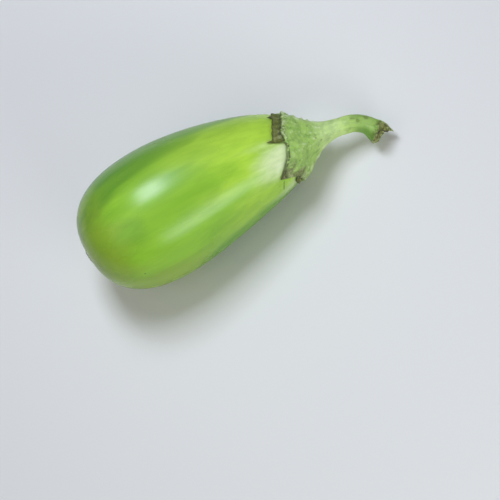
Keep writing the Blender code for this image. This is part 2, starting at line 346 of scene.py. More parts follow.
def lobe_shape(turn):
    """Round the fruit: how far the calyx's rim reaches past the notches, how wide its dry margin is, and how
    near the tip of a lobe is, from 0 at the notches to 1.

    On each side of a lobe the rim rises as a power of the way from the notch to the tip. Where lobes
    overlap, the rim follows the one that reaches further. At the upper notch the margin swells as a bell.
    """
    degrees = (np.degrees(turn) - LOBES[0][0]) % 360 + LOBES[0][0]
    reach = np.zeros_like(degrees)
    margin = np.zeros_like(degrees)
    near_tip = np.zeros_like(degrees)
    for begin, tip, end, length, rise, fall, dry in LOBES:
        inside = (degrees >= begin) & (degrees < end)
        up, down = (degrees - begin) / (tip - begin), (end - degrees) / (end - tip)
        near_tip = np.maximum(near_tip, np.minimum(up, down))
        share = np.minimum(np.clip(up, 0, 1) ** rise, np.clip(down, 0, 1) ** fall)
        middle = np.clip(4 * (degrees - begin) * (end - degrees) / (end - begin) ** 2, 0, 1)
        reach = np.maximum(reach, length * share * inside)
        margin = np.maximum(margin, dry * (np.sqrt(middle) + 0.4 * share**3) * inside)
    widest, spread, width = WIDEST_MARGIN
    swelling = width * bell(wrapped(degrees - widest) / spread)
    return reach, np.maximum(margin + LEAST_MARGIN, swelling), near_tip


def ridges(turn):
    """Height of the five low ridges that run down from the stalk."""
    return RIDGE_HEIGHT * np.cos(5 * (turn - RIDGE_TURN))


def bezier(points, t):
    """A cubic curve through its first and last points."""
    weights = ((1 - t) ** 3, 3 * t * (1 - t) ** 2, 3 * t * t * (1 - t), t**3)
    return sum(w * p for w, p in zip(weights, points))


def flare(t, turn):
    """(along, out) of the neck between the stalk (t 0) and the calyx's shoulder (t 1)."""
    thick = SKIN_GAP + FLESH_THICKNESS + ridges(turn)
    foot = skin(SHOULDER_ARC, turn, thick)
    before = skin(SHOULDER_ARC - 1 * MM, turn, thick)
    pulled = [f + FLARE_SHOULDER_PULL / MM * (b - f) for f, b in zip(foot, before)]
    along = bezier((FLARE_TOP, FLARE_TOP - FLARE_STALK_PULL, pulled[0], foot[0]), t)
    out = bezier((STALK_RADIUS, STALK_RADIUS, pulled[1], foot[1]), t)
    return along, out


def stalk_radius(along, turn):
    """The stalk is faintly five-sided and swells towards its cut end, most on the inside of its bend."""
    swelling = CUT_SWELLING + CUT_HEEL * np.maximum(np.sin(turn), 0)
    swelling = swelling * smooth(1 - (STALK_END - along) / CUT_SWELLING_LENGTH)
    ridge = STALK_RIDGE * np.cos(5 * (turn - RIDGE_TURN)) * smooth((along - FLARE_TOP) / STALK_RIDGE_FADE)
    return STALK_RADIUS + swelling + ridge


def cut_edge(turn):
    """Where the cut rim is along the stalk: slanted and ragged, with one torn lip that points on."""
    slant = -CUT_SLANT * np.cos(turn - CUT_SLANT_TURN)
    ragged = CUT_RAGGED * (np.sin(3 * turn + 0.7) + 0.6 * np.sin(7 * turn + 2))
    lip = CUT_LIP * bell(wrapped(turn - CUT_LIP_TURN, math.pi) / CUT_LIP_WIDTH)
    return STALK_END + slant + ragged + lip


# Meshes

def unit(vectors):
    """The same directions, each of length 1."""
    return vectors / np.maximum(np.linalg.norm(vectors, axis=-1, keepdims=True), SHORTEST)


def grid_normals(points):
    """Outward unit normals of a grid whose columns close round: the cross product of its two directions."""
    down = np.gradient(points, axis=0)
    around = np.roll(points, -1, axis=1) - np.roll(points, 1, axis=1)
    return unit(np.cross(down, around))


def add_attribute(mesh, name, values):
    """Gives each point of a mesh a number or a vector."""
    kind, field = ("FLOAT_VECTOR", "vector") if np.ndim(values) > 1 else ("FLOAT", "value")
    made = mesh.attributes.new(name, kind, "POINT")
    made.data.foreach_set(field, values.astype(np.float32).ravel())


def closed_surface(name, grid, first, last, attributes):
    """A closed mesh from a grid of rows by columns and its two poles, with a number per point for each mask.

    Each attribute is its name, its grid of values and, unless both are 0, its values at the two poles.
    """
    rows, columns = grid.shape[:2]
    points = np.concatenate(([first], grid.reshape(-1, 3), [last]))
    column = np.arange(columns)
    after = (column + 1) % columns
    row = 1 + columns * np.arange(rows - 1)[:, None]
    quads = np.stack((row + column, row + columns + column, row + columns + after, row + after), axis=-1)
    tip = len(points) - 1
    start = np.stack((np.zeros(columns, int), 1 + column, 1 + after), axis=-1)
    end = np.stack((np.full(columns, tip), tip - columns + after, tip - columns + column), axis=-1)
    mesh = bpy.data.meshes.new(name)
    faces = [*start.tolist(), *quads.reshape(-1, 4).tolist(), *end.tolist()]
    mesh.from_pydata(points.tolist(), [], faces)
    for label, values, *ends in attributes:
        at_first, at_last = ends or (0.0, 0.0)
        values = np.broadcast_to(values, grid.shape[:2] + np.shape(at_first))
        flat = np.concatenate(([at_first], values.reshape(-1, *np.shape(at_first)), [at_last]))
        add_attribute(mesh, label, flat)
    return mesh


def new_object(name, data):
    """Adds an object to the scene."""
    made = bpy.data.objects.new(name, data)
    bpy.context.scene.collection.objects.link(made)
    return made


def add_piece(name, mesh, material, node=None):
    """One finished piece, which rides on the part and may stand for a CAD node."""
    mesh.materials.append(material)
    mesh.shade_smooth()
    piece = new_object(name, mesh)
    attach(piece, "root")
    if node:
        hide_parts(node)


# The skin

def scar_shape(arc, turn):
    """Relief of the blossom scar, and how much of the skin it covers.

    An uneven pentagon of cork: its radius varies with turn, its ring and dimple are bell-shaped, and noise
    roughens it.
    """
    uneven = 1 + 0.12 * np.cos(5 * turn + 0.4) + 0.1 * np.cos(2 * turn - 1.0) + 0.05 * np.cos(9 * turn)
    away = (FRUIT_ARC - arc) / (SCAR_RADIUS * uneven)
    ring = SCAR_HEIGHT * bell((away - 0.8) / 0.3)
    dimple = SCAR_DIMPLE * bell(away / 0.4)
    cover = smooth((1.25 - away) / 0.25)
    cork = fractal_noise(straighten((FRUIT_ARC - arc) * 0.2, FRUIT_ARC - arc, turn), 0.7 * MM, 11)
    spokes = SPOKE_HEIGHT * np.cos(15 * turn + 3 * np.cos(2 * turn)) * bell((away - 0.8) / 0.4)
    return ring - dimple + cover * (CORK_HEIGHT * cork + spokes), cover


def skin_relief(arc, turn, along):
    """The skin is smooth: only faint lengthwise swells, and a low roll of skin where the calyx grips it."""
    swells = SWELL_HEIGHT * round_noise(turn, along, 15 * MM, 60 * MM, 21, BELLY_RADIUS)
    swells = swells + STREAK_HEIGHT * round_noise(turn, along, 5 * MM, 30 * MM, 22, BELLY_RADIUS)
    past_rim = arc - SINUS_ARC - lobe_shape(turn)[0]
    return swells + ROLL_HEIGHT * bell((past_rim - ROLL_WIDTH) / ROLL_WIDTH)


def skin_zones(along, turn):
    """How the skin's colour changes over it: shares of dark (darker skin, and painted shade on the edges and
    lower side), stem (yellower), olive (the blossom end's tone, and painted shade on the lower side) and
    cream.

    Each share is a product of soft steps and bells. Their numbers are millimetres along the line from the
    belly and degrees round it, and noise makes their borders wander.
    """
    degrees = wrapped(np.degrees(turn))
    line = along / MM
    wander = 7 * round_noise(turn, along, 9 * MM, 80 * MM, 31, BELLY_RADIUS)
    border = np.interp(line, (-40, -20, 10, 30, 55, 74), (-14, -26, -40, -46, -60, -86))
    # A darker band along the upper edge: partly darker skin, partly painted shade.
    dark = smooth((border - degrees + wander + 6) / 34) * smooth((degrees + wander + 178) / 40)
    # Painted shade over the lower side.
    dark = np.maximum(dark, 0.8 * smooth((degrees + wander - 46) / 26) * smooth((line + 12) / 20))
    dark = np.maximum(dark, 0.35 * smooth((degrees + wander - 38) / 22))
    # A darker green cloud in the skin itself.
    dark = np.maximum(dark, 0.38 * bell((line + 21) / 10) * bell((degrees - wander - 4) / 19))
    # Painted shade on the underside.
    dark = np.maximum(dark, 0.8 * smooth((degrees + wander - 128) / 30) * smooth((70 - line) / 50))
    stem = smooth((line + 20) / 75) * (1 - 0.5 * bell((degrees - 30) / 22))
    stem = stem * (1 - 0.7 * bell((degrees + wander + 3) / 13) * smooth((64 - line) / 24))
    # Olive at the blossom end: partly the skin's own tone, partly painted shade, strongest on the lower
    # side. Then painted shade in olive over the lower side.
    olive = smooth((-12 - line) / 36) * (0.75 + 0.25 * np.sin(turn + 0.4))
    olive = np.maximum(olive, 0.9 * smooth((30 - line) / 50) * smooth((degrees - 30) / 35))
    rim_along = NOTCH_ALONG / MM - lobe_shape(turn)[0] / MM
    notch = bell((degrees - 13) / 24) + 0.45 * bell((degrees - 66) / 14) + 0.35 * bell((degrees - 132) / 18)
    cream = np.clip(notch, 0, 1) * np.clip((line - rim_along + 36) / 34, 0, 1) ** 1.6
    return dark, stem, olive, cream


def make_skin(material):
    """The fruit: the part's own outline, raised square to itself by its relief and pressed level below."""
    hidden = np.linspace(0.6 * MM, SHOULDER_ARC, FRUIT_HIDDEN_ROWS, endpoint=False)
    body = np.linspace(SHOULDER_ARC, FRUIT_ARC - SCAR_REGION, FRUIT_BODY_ROWS, endpoint=False)
    scar = FRUIT_ARC - SCAR_REGION * np.linspace(1, 0.02, FRUIT_SCAR_ROWS) ** 1.3
    arc = np.concatenate((hidden, body, scar))[:, None]
    turn = np.linspace(0, 2 * math.pi, FRUIT_COLUMNS, endpoint=False)[None, :]
    along, out = skin(arc, turn)
    scar_relief, scar_cover = scar_shape(arc, turn)
    straight = straighten(*skin(arc, turn, scar_relief + skin_relief(arc, turn, along)), turn)
    placed = bend_and_lay(straight)
    placed[..., 2] = np.maximum(placed[..., 2], 0)
    poles = np.array(((0, 0, STEM_LENGTH), (0, 0, -BLOSSOM_LENGTH + SCAR_DIMPLE)))
    dark, stem, olive, cream = skin_zones(along, turn)
    attributes = (
        ("grown", straighten(along, out, turn), poles[0], poles[1]),
        ("dark", dark),
        ("stem", stem, 1.0, 0.0),
        ("olive", olive, 0.0, 1.0),
        ("cream", cream),
        ("scar", scar_cover, 0.0, 1.0),
    )
    mesh = closed_surface("fruit_skin", placed, *bend_and_lay(poles), attributes)
    add_piece("fruit_skin", mesh, material, "fruit")


# The calyx and the stalk

def calyx_turns():
    """Angles of the calyx's columns, with one at each tip and each notch."""
    keys = sorted({angle for lobe in LOBES for angle in lobe[:3]})
    turns = []
    for low, high in zip(keys, keys[1:]):
        steps = max(2, round((high - low) / CALYX_COLUMN_ANGLE))
        turns.append(np.linspace(low, high, steps, endpoint=False))
    return np.radians(np.concatenate(turns))


def rim_noise(turn, across, seed):
    """Noise along the rim, with features `across` long."""
    return round_noise(turn, 0.0, across, 1.0, seed, RIM_RADIUS)


def rim_curl(turn):
    """How far the rim stands off the skin: unevenly, and least at the notch in the fruit's upper edge."""
    degrees = wrapped(np.degrees(turn))
    return RIM_LIFT * (1 + 0.7 * rim_noise(turn, 5 * MM, 43)) * (1 - 0.8 * bell((degrees + 95) / 28))


def flesh_inset(turn):
    """How far in from the rim the green flesh begins: past the dry margin, and further at the lobes' points,
    by a share of what they stand out over the rim's average on both sides."""
    reach, margin, _ = lobe_shape(turn)
    aside = np.radians(np.linspace(-POINT_SPREAD, POINT_SPREAD, 13))
    around = np.mean([lobe_shape(turn + angle)[0] for angle in aside], axis=0)
    return margin + POINT_SHARE * np.maximum(reach - around, 0)


def wide_margin(turn):
    """How wide the dry margin is: 0 up to 2 mm, rising to 1 at 4 mm."""
    return smooth((flesh_inset(turn) - 2 * MM) / (2 * MM))


def calyx_grid(turn):
    """The calyx's rows in straight coordinates, from the middle of the cut face to the cap's inside, and
    what each is: its distance in from the rim, its share of cut face, of flesh, and of hidden inside."""
    edge = cut_edge(turn)
    margin = flesh_inset(turn)
    ragged = RAGGED_RIM[0] * rim_noise(turn, 3 * MM, 41) + RAGGED_RIM[1] * rim_noise(turn, 1 * MM, 42)
    rim = SINUS_ARC + lobe_shape(turn)[0] + ragged
    none = np.zeros_like(turn)
    all_ = none + 1.0
    far = none + FAR_FROM_RIM
    rows = []

    for share in np.linspace(0.04, 0.985, CUT_ROWS):
        sunk = CUT_HOLLOW * (1 - share**2) + (edge - STALK_END) * (1 - share)
        rows.append((edge - sunk, share * stalk_radius(edge, turn), far, all_, all_, none))
    for t in np.linspace(0, 1, STALK_ROWS, endpoint=False):
        along = edge + (FLARE_TOP - edge) * t
        rows.append((along, stalk_radius(along, turn), far, none, all_, none))
    for t in np.linspace(0, 1, NECK_ROWS, endpoint=False):
        rows.append((*flare(t, turn), far, none, all_, none))

    crease = margin + 0.5 * CREASE_WIDTH
    lip = np.maximum(margin - 0.5 * CREASE_WIDTH, LEAST_LIP)
    insets = [crease + (rim - SHOULDER_ARC - crease) * (1 - t) for t in np.linspace(0, 1, FLESH_ROWS)]
    insets += [lip + (crease - lip) * (1 - t) for t in np.linspace(0, 1, CREASE_ROWS + 1)[1:]]
    insets += [lip * (1 - t) for t in np.linspace(0, 1, MARGIN_ROWS + 1)[1:]]
    for inset in insets:
        flesh = smooth((inset - margin) / CREASE_WIDTH + 0.5)
        lift = rim_curl(turn) * np.clip(1 - inset / LIFT_WIDTH, 0, 1) ** 2
        rounding = np.sqrt(1 - np.clip(1 - inset / RIM_ROUNDING, 0, 1) ** 2)
        thick = MARGIN_THICKNESS * (0.55 + 0.45 * rounding) + (FLESH_THICKNESS - MARGIN_THICKNESS) * flesh
        thick = thick + ridges(turn) * smooth((inset - margin) / RIDGE_FADE)
        rows.append((*skin(rim - inset, turn, SKIN_GAP + lift + thick), inset, none, flesh, none))
    for share in np.linspace(1, 0, INSIDE_ROWS + 1)[:-1] ** 0.7:
        lift = rim_curl(turn) * np.clip(1 - rim * (1 - share) / LIFT_WIDTH, 0, 1) ** 2
        rows.append((*skin(rim * share, turn, SKIN_GAP + lift), rim * (1 - share), none, none, all_))

    along, out, inset, cut, flesh, inside = (np.stack(column) for column in zip(*rows))
    return straighten(along, out, turn), along, inset, cut, flesh, inside


def wart_height(straight):
    """Pale warts on the cap and the neck, each a bell-shaped bump: the ones that stand out on the upper
    edge, and a seeded scatter of small ones."""
    random = np.random.default_rng(5)
    listed = list(WARTS)
    for _ in range(SMALL_WARTS):
        listed.append([random.uniform(*limits) for limits in SMALL_WART_LIMITS])
    out = np.hypot(straight[..., 0], straight[..., 1])
    turn = np.arctan2(straight[..., 1], straight[..., 0])
    height = np.zeros(straight.shape[:-1])
    for line, degrees, size, tall in listed:
        around = wrapped(turn - math.radians(degrees), math.pi)
        away = np.hypot(around * out, (straight[..., 2] - line * MM) * 1.1) / (size * MM)
        height += tall * MM * bell(away)
    return height


def crack_depth(straight):
    """The dark crack in the cut face: an egg-shaped bell, longest towards the inside of the bend."""
    across, down = straight[..., 0] - CRACK_PLACE[0], straight[..., 1] - CRACK_PLACE[1]
    return bell(np.hypot(across / CRACK_SIZE[0], down / CRACK_SIZE[1]))


def calyx_relief(straight, turn, along, inset, cut, flesh, inside):
    """Relief of the outside, and the part of it that the colours follow.

    Lumps, bumps, grain and lengthwise wrinkles on the green tissue, fine wrinkles on the dry margin, beads
    and granules above the pitted crease, and a torn lump, grain, rays and the crack on the cut end.
    """
    side = (1 - cut) * (1 - inside)
    cap = side * (inset < 0.5 * FAR_FROM_RIM)
    green = side * flesh
    dry = cap * (1 - flesh)
    lumps = LUMP_HEIGHT * fractal_noise(straight, 6 * MM, 51, 2)
    bumps = BUMP_HEIGHT * fractal_noise(straight, 2.3 * MM, 52, 3)
    wrinkles = WRINKLE_HEIGHT * round_noise(turn, along, 1.5 * MM, 14 * MM, 53, 12 * MM)
    grain = GRAIN_HEIGHT * round_noise(turn, along, 0.55 * MM, 9 * MM, 54, 8 * MM)
    on_stalk = smooth((along - 100 * MM) / (14 * MM))
    fine = green * (bumps * (1 - 0.55 * on_stalk) + wrinkles * (1 - 0.4 * on_stalk) + grain)
    fine += dry * DRY_WRINKLE_HEIGHT * round_noise(turn, along, 1.1 * MM, 7 * MM, 55, RIM_RADIUS)
    fine += dry * DRY_BUMP_HEIGHT * fractal_noise(straight, 1.6 * MM, 56, 2)
    past = (inset - flesh_inset(turn)) / MM
    beads = smooth(0.35 + 1.6 * rim_noise(turn, 1.3 * MM, 57)) * bell((past - 1.3) / 0.7)
    granules = fractal_noise(straight, 0.9 * MM, 62, 2) * bell((past - 2.2) / 1.5)
    pits = smooth(0.6 + 1.2 * rim_noise(turn, 1.2 * MM, 58)) * bell((past + 0.1) / 0.4)
    fine += cap * wide_margin(turn) * (BEAD_HEIGHT * beads + GRANULE_HEIGHT * granules - PIT_DEPTH * pits)
    near_end = smooth(1 - (cut_edge(turn) - along) / (5 * MM)) * side
    fine += near_end * END_HEIGHT * fractal_noise(straight, 1.6 * MM, 59, 3)
    rays = round_noise(turn, 0 * along, 0.6 * MM, 1.0, 60, STALK_RADIUS)
    fine += cut * (CUT_HEIGHT * fractal_noise(straight, 1.2 * MM, 61, 3) + RAY_HEIGHT * rays)
    x, y = straight[..., 0], straight[..., 1]
    torn = bell(np.hypot(x - TORN_PLACE[0], y - TORN_PLACE[1]) / TORN_WIDTH)
    torn = torn * smooth(2.5 - 2.5 * np.hypot(x, y) / (STALK_RADIUS + CUT_SWELLING))
    relief = fine + green * lumps + cut * (TORN_HEIGHT * torn - CRACK_DEPTH * crack_depth(straight))
    return relief, fine


def make_calyx(material):
    """The cap and the stalk as one closed surface. Returns the grid that its hairs and fibres grow on, and
    how far along and in from the rim each point is, and whether it is cut face or hidden inside."""
    turn = calyx_turns()
    straight, along, inset, cut, flesh, inside = calyx_grid(turn)
    relief, fine = calyx_relief(straight, turn, along, inset, cut, flesh, inside)
    warts = wart_height(straight) * flesh * (1 - inside) * (1 - cut)
    placed = bend_and_lay(straight + (relief + warts)[..., None] * grid_normals(straight))
    poles = np.array(((0, 0, STALK_END - CUT_HOLLOW), (0, 0, STEM_LENGTH + SKIN_GAP)))
    cap = (1 - cut) * (1 - inside) * (inset < 0.5 * FAR_FROM_RIM)
    margin = flesh_inset(turn)
    degrees = wrapped(np.degrees(turn))
    worn_tip = smooth((degrees - 24) / 12) * smooth((62 - degrees) / 6)
    worn_tip = worn_tip + 0.6 * smooth(1.3 * lobe_shape(turn)[2] - 0.3)
    worn = cap * np.clip(worn_tip, 0, 1) * smooth((11 * MM - inset) / (6 * MM))
    beaded = cap * wide_margin(turn) * bell((inset - margin - 2 * MM) / (1.5 * MM))
    end_length = (3.5 + 4 * np.maximum(np.sin(turn), 0)) * MM
    face_share = np.hypot(straight[..., 0], straight[..., 1]) / stalk_radius(cut_edge(turn), turn)
    attributes = (
        ("grown", straight, poles[0], poles[1]),
        # The relief's height, which the material turns into painted light on bumps and painted shade in
        # hollows.
        ("height", np.clip(0.5 + (fine + 1.2 * warts) / (0.8 * MM), 0, 1), 0.5, 0.5),
        # The hidden inside takes the dry and edge colours, which show as painted shade under the lifted rim;
        # the edge band widens at worn tips into a painted shadow line under them.
        ("dry", np.maximum(cap * (1 - flesh) * smooth((margin - 1.4 * MM) / (1.2 * MM)), inside), 0.0, 1.0),
        ("edge", np.maximum(cap * bell(inset / (0.4 * MM + 0.5 * MM * worn_tip)), inside), 0.0, 1.0),
        ("crease", cap * bell((inset - margin) / (0.55 * MM))),
        ("beaded", beaded),
        ("worn", worn),
        ("cut", cut, 1.0, 0.0),
        ("face_rim", cut * smooth((face_share - 0.68) / 0.2)),
        ("end", smooth(1 - (cut_edge(turn) - along) / end_length), 1.0, 0.0),
        ("crack", cut * crack_depth(straight)),
    )
    mesh = closed_surface("calyx_with_stalk", placed, *bend_and_lay(poles), attributes)
    add_piece("calyx_with_stalk", mesh, material, "calyx_and_stalk")
    return placed, along, inset, cut, inside


def add_strands(name, material, random, roots, ways, leans, lengths, radii, sides, rings):
    """Many closed tapering strands as one piece, of lengths and radii drawn between two limits (mm).

    Each runs from its root along its way and bends towards its lean with the square of the distance. Its
    section is a polygon that shrinks to a point. The mesh holds how near each point is to the strand's tip.
    """
    lengths = random.uniform(*lengths, len(roots)) * MM
    radii = random.uniform(*radii, len(roots)) * MM
    t = np.linspace(0, 1, rings + 1)[:-1]
    across = unit(np.cross(ways, leans))
    other = np.cross(ways, across)
    angle = np.linspace(0, 2 * math.pi, sides, endpoint=False)
    circle = np.cos(angle)[:, None] * across[:, None] + np.sin(angle)[:, None] * other[:, None]
    path = ways[:, None] * t[:, None] + leans[:, None] * (t[:, None] ** 2)
    middle = roots[:, None] + path * lengths[:, None, None]
    thin = radii[:, None] * (1 - t**1.5)
    ring = middle[:, :, None] + thin[:, :, None, None] * circle[:, None]
    tip = roots + (ways + leans) * lengths[:, None]
    points = np.concatenate((ring.reshape(len(roots), -1, 3), tip[:, None]), axis=1)

    faces = [tuple(range(sides))[::-1]]
    for r, s in itertools.product(range(rings), range(sides)):
        here, after = r * sides + s, r * sides + (s + 1) % sides
        above = (after + sides, here + sides) if r < rings - 1 else (rings * sides,)
        faces.append((here, after, *above))
    each = points.shape[1]
    all_faces = []
    for face in faces:
        all_faces += (np.array(face) + each * np.arange(len(roots))[:, None]).tolist()
    mesh = bpy.data.meshes.new(name)
    mesh.from_pydata(points.reshape(-1, 3).tolist(), [], all_faces)
    add_attribute(mesh, "toward_tip", np.tile(np.append(np.repeat(t, sides), 1.0), len(roots)))
    add_piece(name, mesh, material)


def make_hairs(placed, along, inset, cut, inside, material):
    """Fine pale felt on the green tissue: short seeded hairs that lean to the rim, each grid cell's share of
    them by its area, and fewer on the stalk."""
    random = np.random.default_rng(8)
    down = np.diff(placed, axis=0, append=placed[-1:])
    around = np.roll(placed, -1, axis=1) - placed
    share = np.linalg.norm(np.cross(down, around), axis=-1)
    share = share * (1 - cut) * (1 - inside) * (inset > flesh_inset(calyx_turns()))
    share = share * (1 - 0.6 * smooth((along - 98 * MM) / (14 * MM)))
    share = share / share.sum()
    picked = random.choice(share.size, HAIR_COUNT, p=share.ravel())
    normal = grid_normals(placed).reshape(-1, 3)[picked]
    rimward = unit(np.gradient(placed, axis=0).reshape(-1, 3)[picked])
    ways = unit(0.8 * normal + 0.25 * rimward + random.normal(0, 0.22, (HAIR_COUNT, 3)))
    leans = 0.5 * rimward + random.normal(0, 0.25, (HAIR_COUNT, 3))
    roots = placed.reshape(-1, 3)[picked] - HAIR_SUNK * normal
    add_strands("calyx_hairs", material, random, roots, ways, leans, HAIR_LENGTHS, HAIR_RADII, 3, 2)


def make_cut_fibres(placed, material):
    """Torn fibres round the rim of the cut and in its hollow, which point on along the stalk."""
    random = np.random.default_rng(14)
    columns = placed.shape[1]
    rim_row = CUT_ROWS - 1
    on_rim = random.uniform(size=FIBRE_COUNT) < RIM_FIBRE_SHARE
    rows = np.where(on_rim, rim_row, random.integers(6, rim_row, FIBRE_COUNT))
    at = random.integers(0, columns, FIBRE_COUNT)
    middle = placed[0].mean(axis=0)
    outward = unit(placed[rim_row] - middle)
    onward = unit(grid_normals(placed)[:3].mean(axis=(0, 1)))
    ways = unit(onward + 0.35 * outward[at] + random.normal(0, 0.25, (FIBRE_COUNT, 3)))
    leans = 0.35 * outward[at] + random.normal(0, 0.3, (FIBRE_COUNT, 3))
    roots = placed[rows, at] - FIBRE_SUNK * ways
    add_strands("cut_fibres", material, random, roots, ways, leans, FIBRE_LENGTHS, FIBRE_RADII, 5, 4)


# Materials

ROUGH_EDGE = 0.9


def feed(socket, value):
    """Joins a socket to another's output, or sets it to a number, a vector or a colour."""
    if isinstance(value, bpy.types.NodeSocket):
        socket.id_data.links.new(value, socket)
    else:
        socket.default_value = (*value, 1.0) if socket.type == "RGBA" else value


def fill(node, **inputs):
    """Sets a node's inputs to values or output sockets, where _ in a name stands for a space."""
    for name, value in inputs.items():
        feed(node.inputs[name.replace("_", " ")], value)
    return node


def put(tree, kind, settings=None, **inputs):
    """Adds a node and fills its inputs."""
    made = tree.nodes.new(kind)
    for name, value in (settings or {}).items():
        setattr(made, name, value)
    return fill(made, **inputs)


def put_sum(tree, kind, settings, *inputs):
    """Adds a node that works out one sum of its inputs, in their order, and returns its output."""
    made = put(tree, kind, settings)
    for socket, value in zip(made.inputs, inputs):
        feed(socket, value)
    return made.outputs["Value" if settings["operation"] == "LENGTH" else 0]


def calculate(tree, operation, first, second):
    """A sum of two numbers, held between 0 and 1."""
    return put_sum(tree, "ShaderNodeMath", {"operation": operation, "use_clamp": True}, first, second)


def product(tree, first, second):
    """Two masks multiplied."""
    return calculate(tree, "MULTIPLY", first, second)


def vector_sum(tree, operation, *inputs):
    """One sum of vectors."""
    return put_sum(tree, "ShaderNodeVectorMath", {"operation": operation}, *inputs)


def between(tree, value, low, high, to_low=0.0, to_high=1.0):
    """Maps a value from one range to another along an S curve, held at both ends."""
    inputs = {"Value": value, "From_Min": low, "From_Max": high, "To_Min": to_low, "To_Max": to_high}
    return put(tree, "ShaderNodeMapRange", {"interpolation_type": "SMOOTHSTEP"}, **inputs).outputs[0]


def colour_mix(tree, share, first, second):
    """The first colour, changed to the second by a share."""
    made = put(tree, "ShaderNodeMix", {"data_type": "RGBA"})
    for socket, value in zip((made.inputs[0], made.inputs[6], made.inputs[7]), (share, first, second)):
        feed(socket, value)
    return made.outputs[2]


def layered(tree, colour, layers):
    """The colour, changed to each layer's tint in turn by its mask and weight."""
    for share, weight, tint in layers:
        colour = colour_mix(tree, product(tree, share, weight), colour, tint)
    return colour


def attribute(tree, name, field="Fac"):
    """A mask or position that the mesh holds."""
    return put(tree, "ShaderNodeAttribute", {"attribute_name": name}).outputs[field]


def noise_at(tree, place, per_metre, detail, roughness=0.5):
    """Noise with so many features to a metre."""
    inputs = {"Vector": place, "Scale": per_metre, "Detail": detail, "Roughness": roughness}
    return put(tree, "ShaderNodeTexNoise", **inputs).outputs["Fac"]


def effect_group(name, **inputs):
    """An empty node group. Returns its tree, its named inputs and its mask's socket."""
    tree = bpy.data.node_groups.new(name, "ShaderNodeTree")
    for label, value in inputs.items():
        kind = "NodeSocketVector" if isinstance(value, tuple) else "NodeSocketFloat"
        socket = tree.interface.new_socket(label.replace("_", " "), in_out="INPUT", socket_type=kind)
        socket.default_value = value
    tree.interface.new_socket("Mask", in_out="OUTPUT", socket_type="NodeSocketFloat")
    given = tree.nodes.new("NodeGroupInput").outputs
    return tree, given, tree.nodes.new("NodeGroupOutput").inputs["Mask"]


def mottle_group():
    """Soft patches: noise stretched lengthwise, cut to a mask between two levels."""
    tree, given, mask = effect_group(
        "mottle", Vector=(0.0, 0.0, 0.0), Stretch=(1.0, 1.0, 1.0), Per_Metre=100.0, Low=0.4, High=0.6
    )
    place = vector_sum(tree, "MULTIPLY", given["Vector"], given["Stretch"])
    noise = noise_at(tree, place, given["Per Metre"], 3.0, 0.55)
    feed(mask, between(tree, noise, given["Low"], given["High"]))
    return tree


def mark_group():
    """One soft-edged mark: full within an egg-shaped distance of its place, fading out to its edge."""
    tree, given, mask = effect_group(
        "mark", Vector=(0.0, 0.0, 0.0), Place=(0.0, 0.0, 0.0), Size=(0.001, 0.001, 0.001)
    )
    away = vector_sum(tree, "SUBTRACT", given["Vector"], given["Place"])
    distance = vector_sum(tree, "LENGTH", vector_sum(tree, "DIVIDE", away, given["Size"]))
    noise = noise_at(tree, given["Vector"], 900.0, 2.0)
    pushed = put_sum(tree, "ShaderNodeMath", {"operation": "MULTIPLY_ADD"}, noise, ROUGH_EDGE, distance)
    feed(mask, between(tree, pushed, 1.35, 0.75))
    return tree


MOTTLE = mottle_group()
MARK = mark_group()


def patches(tree, place, per_metre, low, high, stretch=1.0):
    """A mask of soft patches, so many to a metre, drawn out lengthwise by a stretch under 1."""
    inputs = {"Vector": place, "Stretch": (1, 1, stretch), "Per_Metre": per_metre, "Low": low, "High": high}
    return put(tree, "ShaderNodeGroup", {"node_tree": MOTTLE}, **inputs).outputs[0]


def marks(tree, place, listed):
    """All the listed marks as one mask: along, turn and out of each, then its half-width and half-length."""
    total = 0.0
    for along, degrees, out, half_width, half_length in listed:
        turn = math.radians(degrees)
        spot = (out * MM * math.cos(turn), out * MM * math.sin(turn), along * MM)
        size = (half_width * MM, half_width * MM, half_length * MM)
        one = put(tree, "ShaderNodeGroup", {"node_tree": MARK}, Vector=place, Place=spot, Size=size)
        total = calculate(tree, "MAXIMUM", total, one.outputs[0])
    return total


def new_material(name):
    """An empty material. Returns it, its tree and its shader."""
    material = bpy.data.materials.new(name)
    material.use_nodes = True
    tree = material.node_tree
    return material, tree, tree.nodes["Principled BSDF"]


def bump(tree, height, strength, distance):
    """The normal of fine relief."""
    return put(tree, "ShaderNodeBump", Strength=strength, Distance=distance, Height=height).outputs[0]


# Skin colours, and where the thin dark marks on it are: along (mm), turn (degrees), out (mm), half-width and
# half-length (mm)
GREEN = (0.31, 0.59, 0.035)
STEM_GREEN = (0.51, 0.77, 0.065)
# DARK_GREEN and OLIVE are also laid as painted shade where the dark and olive zones cover the edges and
# lower side.
DARK_GREEN = (0.1, 0.285, 0.022)
OLIVE = (0.25, 0.375, 0.025)
CREAM = (0.88, 0.95, 0.56)
CORK = (0.23, 0.15, 0.07)
CORK_DARK = (0.07, 0.042, 0.02)
MARK_BROWN = (0.08, 0.11, 0.025)
SKIN_CRACK = tuple(
    (69.5 - 0.2 * i, 45.5 + 1.45 * i, 24.6 + 0.09 * i, 0.55 + 0.2 * (i % 3), 0.7) for i in range(10)
)
SKIN_MARKS = SKIN_CRACK + (
    (66.0, 48.0, 26.0, 0.4, 0.5), (67.0, 41.0, 25.6, 0.4, 0.6), (65.5, 54.0, 26.2, 0.4, 0.4),
    (-27.9, 46.7, 35.3, 0.8, 0.8), (-30.4, 49.5, 34.7, 0.7, 0.7),
)


